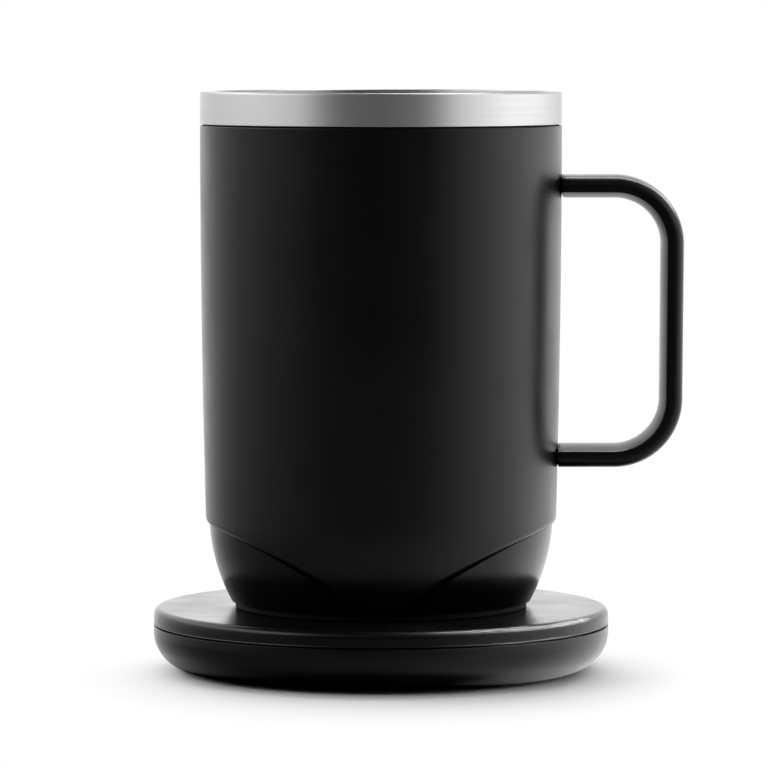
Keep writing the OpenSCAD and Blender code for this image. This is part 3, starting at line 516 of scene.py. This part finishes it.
def contact_spring(name, node):
    """A wire coil in the place of its CAD node."""
    steps, sides = 36, 10
    low, high = [[c / MM for c in corner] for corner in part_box(node)]
    middle_x = (low[0] + high[0]) / 2
    coil_r = (high[0] - low[0]) / 2 - SPRING_WIRE_R
    start = low[2] + SPRING_WIRE_R
    rise = high[2] - low[2] - 2 * SPRING_WIRE_R
    count = SPRING_TURNS * steps
    rings = []
    for i in range(count + 1):
        turn = 2 * math.pi * i / steps
        wire = circle(coil_r, start + rise * i / count, SPRING_WIRE_R, sides)
        rings.append([(middle_x + r * math.cos(turn), r * math.sin(turn), z) for r, z in wire])
    return loft(name, rings)


# Shader nodes
def tree_of(name):
    """A new material with a bare Principled shader; gives (material, nodes, link, shader)."""
    material = bpy.data.materials.new(name)
    material.use_nodes = True
    nodes = material.node_tree.nodes
    shader = nodes["Principled BSDF"]
    return material, nodes, material.node_tree.links.new, shader


def object_coords(nodes):
    """The part's own coordinates, in metres."""
    return nodes.new("ShaderNodeTexCoord").outputs["Object"]


def grain_noise(nodes, link, detail, scale=1, stretch=None):
    """A noise in the part's own coordinates, stretched along its axes if asked."""
    noise = nodes.new("ShaderNodeTexNoise")
    noise.inputs["Scale"].default_value = scale
    noise.inputs["Detail"].default_value = detail
    coords = object_coords(nodes)
    if stretch:
        mapping = nodes.new("ShaderNodeMapping")
        mapping.inputs["Scale"].default_value = stretch
        link(coords, mapping.inputs["Vector"])
        coords = mapping.outputs["Vector"]
    link(coords, noise.inputs["Vector"])
    return noise.outputs["Fac"]


def spread(nodes, link, value, low, high, from_low=0.3, from_high=0.7):
    """Maps a value to a range, held at both ends; a noise lies mostly between the usual limits."""
    ranged = nodes.new("ShaderNodeMapRange")
    ranged.inputs["From Min"].default_value = from_low
    ranged.inputs["From Max"].default_value = from_high
    ranged.inputs["To Min"].default_value = low
    ranged.inputs["To Max"].default_value = high
    link(value, ranged.inputs["Value"])
    return ranged.outputs["Result"]


def two_tone(nodes, link, value, dark, light):
    """Mixes two colours by a value."""
    mix = nodes.new("ShaderNodeMix")
    mix.data_type = "RGBA"
    mix.inputs["A"].default_value = (*dark, 1)
    mix.inputs["B"].default_value = (*light, 1)
    link(value, mix.inputs["Factor"])
    return mix.outputs["Result"]


def bump(nodes, link, height, strength, relief):
    """A fine relief, in millimetres, for a shader's normal."""
    node = nodes.new("ShaderNodeBump")
    node.inputs["Strength"].default_value = strength
    node.inputs["Distance"].default_value = relief * MM
    link(height, node.inputs["Height"])
    return node.outputs["Normal"]


def product(nodes, link, first, second):
    """Two values multiplied."""
    node = nodes.new("ShaderNodeMath")
    node.operation = "MULTIPLY"
    link(first, node.inputs[0])
    link(second, node.inputs[1])
    return node.outputs["Value"]


def mixed(nodes, link, share, first, second):
    """One shader with a share of another."""
    node = nodes.new("ShaderNodeMixShader")
    link(share, node.inputs["Fac"])
    link(first, node.inputs[1])
    link(second, node.inputs[2])
    return node.outputs["Shader"]


def toned(colour, share):
    """A colour made darker or lighter by a share."""
    return tuple(min(1, c * share) for c in colour)


# Materials
BLACK = (0.0012, 0.0012, 0.0013)

# Moulded, coated and plated finishes by slot: colour, roughness, specular level, grains to the metre,
# relief in millimetres, share by which the colour varies, and how metallic it is
MOULDED = {
    "black_coat": (BLACK, 0.31, 0.3, 3200, 0.01, 0.3, 0),
    "black_plastic": (BLACK, 0.24, 0.26, 2600, 0.01, 0.3, 0),
    "black_rubber": ((0.003, 0.003, 0.003), 0.6, 0.1, 1800, 0.03, 0.25, 0),
    "dark_plastic": ((0.06, 0.06, 0.065), 0.4, 0.35, 2200, 0.01, 0.25, 0),
    "fastener_steel": ((0.5, 0.5, 0.5), 0.32, 0.5, 900, 0.01, 0.1, 1),
    "gold_contact": ((0.83, 0.6, 0.25), 0.22, 0.5, 1500, 0.005, 0.08, 1),
    "heater_film": ((0.5, 0.22, 0.03), 0.3, 0.5, 700, 0.02, 0.25, 0),
    "foam": ((0.1, 0.1, 0.1), 0.9, 0.2, 1400, 0.1, 0.25, 0),
    "cell_wrap": ((0.03, 0.1, 0.32), 0.25, 0.5, 500, 0.01, 0.25, 0),
    "chip": ((0.02, 0.02, 0.02), 0.5, 0.4, 4000, 0.01, 0.25, 0),
    "connector": ((0.7, 0.66, 0.54), 0.45, 0.4, 2000, 0.01, 0.08, 0),
    "led": ((0.85, 0.82, 0.6), 0.15, 0.5, 900, 0.005, 0.08, 0),
    "red_wire": ((0.4, 0.02, 0.015), 0.45, 0.4, 1500, 0.01, 0.25, 0),
    "pale_wire": ((0.7, 0.67, 0.58), 0.45, 0.4, 1500, 0.01, 0.1, 0),
    "ferrite": ((0.07, 0.07, 0.07), 0.6, 0.4, 1200, 0.03, 0.25, 0),
}


def moulded(name, colour, rough, specular, grain, relief, vary, metal):
    """A surface with a fine even grain in its colour and relief, and broad patches in its roughness."""
    patches, patch_change, grain_strength = 60, 0.04, 0.35
    material, nodes, link, shader = tree_of(name)
    fine = grain_noise(nodes, link, detail=3, scale=grain)
    broad = grain_noise(nodes, link, detail=4, scale=patches)
    tone = two_tone(nodes, link, fine, toned(colour, 1 - vary), toned(colour, 1 + vary))
    patchy = spread(nodes, link, broad, rough - patch_change, rough + patch_change)
    link(tone, shader.inputs["Base Color"])
    link(patchy, shader.inputs["Roughness"])
    link(bump(nodes, link, fine, grain_strength, relief), shader.inputs["Normal"])
    shader.inputs["Metallic"].default_value = metal
    shader.inputs["Specular IOR Level"].default_value = specular
    return material


def turned_metal(name, colour, rough, streaks_per_m, brushing):
    """Metal brushed around the axis, with fine streaks of different length."""
    tone_change, rough_change, broad_share, relief = 0.04, 0.03, 0.15, 0.02
    material, nodes, link, shader = tree_of(name)
    streaks = grain_noise(nodes, link, detail=5, stretch=streaks_per_m)
    broad = grain_noise(nodes, link, detail=3, stretch=tuple(s * broad_share for s in streaks_per_m))
    tone = two_tone(nodes, link, streaks, toned(colour, 1 - tone_change), toned(colour, 1 + tone_change))
    patchy = spread(nodes, link, broad, rough - rough_change, rough + rough_change)
    link(tone, shader.inputs["Base Color"])
    link(patchy, shader.inputs["Roughness"])
    link(bump(nodes, link, streaks, brushing, relief), shader.inputs["Normal"])
    tangent = nodes.new("ShaderNodeTangent")
    tangent.direction_type = "RADIAL"
    tangent.axis = "Z"
    link(tangent.outputs["Tangent"], shader.inputs["Tangent"])
    shader.inputs["Metallic"].default_value = 1.0
    shader.inputs["Specular Tint"].default_value = (0.7, 0.7, 0.7, 1)
    shader.inputs["Anisotropic"].default_value = 0.9
    shader.inputs["Anisotropic Rotation"].default_value = 0.25
    return material


def felt(name, colour):
    """A matted sheet of short fibres."""
    along_x, along_y = (900, 4000, 2500), (4000, 900, 2500)
    dark_share, fibre_strength, relief = 0.7, 0.8, 0.1
    material, nodes, link, shader = tree_of(name)
    fibres = grain_noise(nodes, link, detail=6, stretch=along_y)
    across = grain_noise(nodes, link, detail=6, stretch=along_x)
    tone = two_tone(nodes, link, fibres, toned(colour, dark_share), colour)
    link(tone, shader.inputs["Base Color"])
    link(bump(nodes, link, across, fibre_strength, relief), shader.inputs["Normal"])
    shader.inputs["Roughness"].default_value = 0.9
    return material


def circuit_board(name, mask, trace):
    """Solder mask with paler traces under it."""
    second_share, trace_strength, relief = 0.85, 0.4, 0.03
    material, nodes, link, shader = tree_of(name)
    bricks = nodes.new("ShaderNodeTexBrick")
    bricks.inputs["Scale"].default_value = 300
    bricks.inputs["Mortar Size"].default_value = 0.04
    bricks.inputs["Color1"].default_value = (*mask, 1)
    bricks.inputs["Color2"].default_value = (*toned(mask, second_share), 1)
    bricks.inputs["Mortar"].default_value = (*trace, 1)
    link(object_coords(nodes), bricks.inputs["Vector"])
    link(bricks.outputs["Color"], shader.inputs["Base Color"])
    link(bump(nodes, link, bricks.outputs["Fac"], trace_strength, relief), shader.inputs["Normal"])
    shader.inputs["Roughness"].default_value = 0.35
    return material


def build_materials():
    """The finish of every slot, by the slot's name."""
    around, crisscross = (60, 60, 9000), (400, 400, 400)
    materials = {slot: moulded(slot, *finish) for slot, finish in MOULDED.items()}
    materials["brushed_steel"] = turned_metal("brushed_steel", (0.6, 0.6, 0.6), 0.39, around, 0.03)
    materials["spreader_aluminium"] = turned_metal(
        "spreader_aluminium", (0.7, 0.71, 0.72), 0.35, crisscross, 0.2
    )
    materials["insulation"] = felt("insulation", (0.75, 0.72, 0.62))
    materials["board"] = circuit_board("board", (0.015, 0.12, 0.05), (0.05, 0.25, 0.1))
    return materials


# Dressing of the frame
def paint(obj, material):
    """Gives an object one material all over."""
    obj.data.materials.clear()
    obj.data.materials.append(material)


def dress(materials):
    """Gives every CAD node the finish of its slot, puts the smooth pieces over theirs and returns them."""
    slot_of = {entry["node"]: entry["material_slot"] for entry in frame["record"]["subparts"]}
    for name, node in frame["nodes"].items():
        paint(node, materials[slot_of[name]])
    pieces = [
        (outer_shell(), "mug", "outer_shell"),
        (rim_band(), "mug", "rim_band"),
        (inner_liner(), "mug", "inner_liner"),
        (base_housing(), "mug", "base_housing"),
        (handle(), "mug", "handle"),
        (coaster_cover(), "coaster", "coaster_cover"),
        (coaster_base(), "coaster", "coaster_base"),
        (contact_spring("inner_spring_coil", "contact_spring_inner"), "coaster", "contact_spring_inner"),
        (contact_spring("outer_spring_coil", "contact_spring_outer"), "coaster", "contact_spring_outer"),
    ]
    for obj, body, node in pieces:
        paint(obj, materials[slot_of[node]])
        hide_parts(node)
        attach(obj, body)
    dressed = {node: obj for obj, _, node in pieces}
    for side_name in ("inner", "outer"):
        spring = "contact_spring_" + side_name
        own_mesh(dressed[spring])
    return dressed


# Stage
WALL_BELOW, WALL_LOW, WALL_HIGH = 1, 2, 3

# Glow of the wall: degrees from the camera's side (right positive), then below, low and high zone
WALL_GLOW = [
    (-180, 1.3, 1.9, 1.5),
    (-165, 1.0, 1.5, 1.5),
    (-150, 0.7, 1.3, 1.7),
    (-130, 0.45, 1.0, 2.1),
    (-112, 0.24, 0.85, 2.6),
    (-85, 0.2, 0.68, 2.9),
    (-68, 0.2, 0.44, 2.9),
    (-53, 0.22, 0.28, 2.7),
    (-40, 0.27, 0.1, 1.0),
    (-26, 0.28, 0.03, 0.3),
    (0, 0.3, 0.02, 0.2),
    (26, 0.45, 0.05, 0.2),
    (38, 0.6, 0.22, 0.6),
    (52, 0.8, 0.8, 1.8),
    (67, 0.95, 1.32, 1.5),
    (85, 1.15, 2.05, 1.4),
    (112, 1.8, 2.15, 0.7),
    (125, 1.9, 1.8, 0.1),
    (140, 1.8, 1.5, 0.5),
    (155, 1.6, 1.4, 1.2),
    (168, 1.4, 1.5, 1.5),
    (180, 1.3, 1.9, 1.5),
]


def glow_ramp(nodes, link, turn, zone):
    """Strength of one zone of the wall over the turn about the axis."""
    ramp = nodes.new("ShaderNodeValToRGB")
    link(turn, ramp.inputs["Fac"])
    stops = ramp.color_ramp.elements
    for stop, row in [(stops[0], WALL_GLOW[0]), (stops[1], WALL_GLOW[-1])]:
        stop.position = (row[0] + 180) / 360
        stop.color = (row[zone], row[zone], row[zone], 1)
    for row in WALL_GLOW[1:-1]:
        stops.new((row[0] + 180) / 360).color = (row[zone], row[zone], row[zone], 1)
    return ramp.outputs["Color"]


def mirrored_again(nodes, link):
    """One for light that reaches the eye over two or more reflections, else zero."""
    between_first_and_second = 1.5
    again = nodes.new("ShaderNodeMath")
    again.operation = "GREATER_THAN"
    again.inputs[1].default_value = between_first_and_second
    link(nodes.new("ShaderNodeLightPath").outputs["Ray Depth"], again.inputs[0])
    return again.outputs["Value"]


def wall_material():
    """A glow by direction and height, whose high zone is dim in reflections of reflections."""
    floor_blend, mug_blend, second_share = (-0.25, -0.05), (0.35, 0.6), 0.15
    material = bpy.data.materials.new("studio_wall")
    material.use_nodes = True
    nodes = material.node_tree.nodes
    nodes.clear()
    link = material.node_tree.links.new
    split = nodes.new("ShaderNodeSeparateXYZ")
    link(object_coords(nodes), split.inputs["Vector"])
    front = nodes.new("ShaderNodeMath")
    front.operation = "MULTIPLY"
    front.inputs[1].default_value = -1
    link(split.outputs["Y"], front.inputs[0])
    turn = nodes.new("ShaderNodeMath")
    turn.operation = "ARCTAN2"
    link(split.outputs["X"], turn.inputs[0])
    link(front.outputs["Value"], turn.inputs[1])
    share = spread(nodes, link, turn.outputs["Value"], 0, 1, -math.pi, math.pi)
    level = glow_ramp(nodes, link, share, WALL_BELOW)
    above_floor = spread(nodes, link, split.outputs["Z"], 0, 1, *floor_blend)
    above_mug = spread(nodes, link, split.outputs["Z"], 0, 1, *mug_blend)
    for zone, reach in ((WALL_LOW, above_floor), (WALL_HIGH, above_mug)):
        mix = nodes.new("ShaderNodeMix")
        mix.data_type = "RGBA"
        link(reach, mix.inputs["Factor"])
        link(level, mix.inputs["A"])
        link(glow_ramp(nodes, link, share, zone), mix.inputs["B"])
        level = mix.outputs["Result"]
    glow = nodes.new("ShaderNodeEmission")
    out = nodes.new("ShaderNodeOutputMaterial")
    link(level, glow.inputs["Color"])
    dimmed = product(nodes, link, above_mug, mirrored_again(nodes, link))
    link(spread(nodes, link, dimmed, 1, second_share, 0, 1), glow.inputs["Strength"])
    link(glow.outputs["Emission"], out.inputs["Surface"])
    return material


def glowing_wall():
    """A wall round the stage that glows; the camera looks through it."""
    radius, low, high, panels = 1.5, -2.6, 1.6, 96
    verts, faces = [], []
    for i in range(panels):
        a = 2 * math.pi * i / panels
        for z in (low, high):
            verts.append((radius * math.cos(a), radius * math.sin(a), z))
        n = (i + 1) % panels
        faces.append((2 * i, 2 * i + 1, 2 * n + 1, 2 * n))
    mesh = bpy.data.meshes.new("studio_wall")
    mesh.from_pydata(verts, [], faces)
    mesh.materials.append(wall_material())
    wall = bpy.data.objects.new("studio_wall", mesh)
    wall.visible_camera = False
    bpy.context.scene.collection.objects.link(wall)
    wall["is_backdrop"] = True


def axis_distance(nodes, link, stretch, shift=(0, 0, 0)):
    """Distance from the origin, with each axis stretched and then shifted."""
    scaled = nodes.new("ShaderNodeVectorMath")
    scaled.operation = "MULTIPLY_ADD"
    scaled.inputs[1].default_value = stretch
    scaled.inputs[2].default_value = shift
    link(object_coords(nodes), scaled.inputs[0])
    length = nodes.new("ShaderNodeVectorMath")
    length.operation = "LENGTH"
    link(scaled.outputs["Vector"], length.inputs[0])
    return length.outputs["Value"]


def floor_material():
    """Pale, with the object's shadow, and white in the distance.

    Reflections see only its middle, a dark grey of painted shade under the coaster, and from below it can
    be looked through.
    """
    pale, dark = (0.9, 0.9, 0.9, 1), (0.03, 0.03, 0.03, 1)
    near_r, white_r, white_form = 0.07, 0.11, (1.5, 1, 1)
    # Painted shade: radii, form and shift of the dark grey middle that reflections see in place of the
    # shadow
    painted_shade_r, open_r, shade_form, shade_shift = 0.051, 0.06, (1.12, 1, 1), (0.003, 0, 0)
    material, nodes, link, shader = tree_of("floor")
    shader.inputs["Base Color"].default_value = pale
    shader.inputs["Roughness"].default_value = 1.0
    shader.inputs["Specular IOR Level"].default_value = 0.0
    # Painted shade: a dark grey that glossy rays see in the floor's middle, under and beside the coaster
    shade = nodes.new("ShaderNodeBsdfDiffuse")
    shade.inputs["Color"].default_value = dark
    white = nodes.new("ShaderNodeEmission").outputs["Emission"]
    clear = nodes.new("ShaderNodeBsdfTransparent").outputs["BSDF"]
    path = nodes.new("ShaderNodeLightPath").outputs
    far = spread(nodes, link, axis_distance(nodes, link, white_form), 0, 1, near_r, white_r)
    shade_distance = axis_distance(nodes, link, shade_form, shade_shift)
    outside = spread(nodes, link, shade_distance, 0, 1, painted_shade_r, open_r)
    far_seen = product(nodes, link, far, path["Is Camera Ray"])
    seen = mixed(nodes, link, far_seen, shader.outputs["BSDF"], white)
    mirrored = mixed(nodes, link, outside, shade.outputs["BSDF"], clear)
    above = mixed(nodes, link, path["Is Glossy Ray"], seen, mirrored)
    from_below = nodes.new("ShaderNodeNewGeometry").outputs["Backfacing"]
    link(mixed(nodes, link, from_below, above, clear), nodes["Material Output"].inputs["Surface"])
    return material


def pale_floor():
    """A round floor under the object."""
    radius, columns = 1.4, 96
    turns = [2 * math.pi * k / columns for k in range(columns)]
    verts = [(radius * math.cos(a), radius * math.sin(a), 0) for a in turns]
    mesh = bpy.data.meshes.new("floor")
    mesh.from_pydata(verts, [], [tuple(range(columns))])
    mesh.materials.append(floor_material())
    floor = bpy.data.objects.new("floor", mesh)
    bpy.context.scene.collection.objects.link(floor)
    floor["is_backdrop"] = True


# Light and camera
def turned_to(place, aim):
    """Rotation of a lamp or camera at a place that looks at an aim."""
    return (Vector(aim) - Vector(place)).to_track_quat("-Z", "Y").to_euler()


def area_lamp(name, place, aim, size, energy):
    """A rectangular lamp; its size is (width, height) and its energy is in watts."""
    data = bpy.data.lights.new(name, "AREA")
    data.shape = "RECTANGLE"
    data.size, data.size_y = size
    data.energy = energy
    lamp = bpy.data.objects.new(name, data)
    lamp.location = place
    lamp.rotation_euler = turned_to(place, aim)
    bpy.context.scene.collection.objects.link(lamp)
    return lamp


def hide_when_mirrored_again(lamp):
    """Keeps a lamp out of reflections of reflections."""
    data = lamp.data
    data.cycles.use_multiple_importance_sampling = False
    data.use_nodes = True
    nodes = data.node_tree.nodes
    link = data.node_tree.links.new
    strength = spread(nodes, link, mirrored_again(nodes, link), 1, 0, 0, 1)
    link(strength, nodes["Emission"].inputs["Strength"])


def gleam(name, place, size, energy, pieces):
    """A lamp that shows only in what the given pieces mirror."""
    low_on_mug = (0, 0, 0.05)
    lamp = area_lamp(name, place, low_on_mug, size, energy)
    lamp.visible_diffuse = False
    receivers = bpy.data.collections.new(name)
    for piece in pieces:
        receivers.objects.link(piece)
    lamp.light_linking.receiver_collection = receivers
    return lamp


def lamps(dressed):
    """A soft lamp above, and gleams along the edges of rim, handle and coaster."""
    overhead = area_lamp("overhead", (0, 0.45, 1.2), (0, 0, 0), (2.2, 0.7), 15)
    overhead.visible_glossy = False
    mouth = [dressed["rim_band"], dressed["inner_liner"]]
    grip = [dressed["handle"]]
    coaster = [dressed["coaster_cover"], dressed["coaster_base"]]
    gleam("rim_gleam", (0.3, 0.35, 1.25), (1.0, 0.6), 8, mouth)
    gleam("arm_gleam", (0.25, 0.46, 1.25), (1.0, 0.36), 18, grip)
    gleam("bend_gleam", (0.85, 0.62, 0.85), (0.7, 0.7), 16, grip)
    coaster_gleam = gleam("coaster_gleam", (0.9, 0.27, 0.95), (1.8, 1.6), 104, coaster)
    hide_when_mirrored_again(coaster_gleam)


def surroundings():
    """White behind the picture and a dim grey for everything else."""
    dim, white = 0.06, 1.0
    world = bpy.data.worlds.new("surroundings")
    bpy.context.scene.world = world
    world.use_nodes = True
    nodes = world.node_tree.nodes
    link = world.node_tree.links.new
    seen = nodes.new("ShaderNodeLightPath").outputs["Is Camera Ray"]
    back = nodes["Background"]
    back.inputs["Color"].default_value = (1, 1, 1, 1)
    link(spread(nodes, link, seen, dim, white, 0, 1), back.inputs["Strength"])


def camera():
    """A long lens in front of the mug, a little above its rim."""
    place, aim = (0.00072, -1.2329, 0.1525), (0.00072, 0, 0.0684)
    data = bpy.data.cameras.new("camera")
    data.sensor_width = 36
    data.lens = 242.95
    data.clip_end = 20
    obj = bpy.data.objects.new("camera", data)
    obj.location = place
    obj.rotation_euler = turned_to(place, aim)
    bpy.context.scene.collection.objects.link(obj)
    bpy.context.scene.camera = obj


dressed = dress(build_materials())
glowing_wall()
pale_floor()
lamps(dressed)
surroundings()
camera()
bpy.context.scene.view_settings.view_transform = "Standard"

plain = lambda corners: [[float(v) for v in corner] for corner in corners]
{"cad": plain(cad_bounds), "visual": plain(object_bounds())}
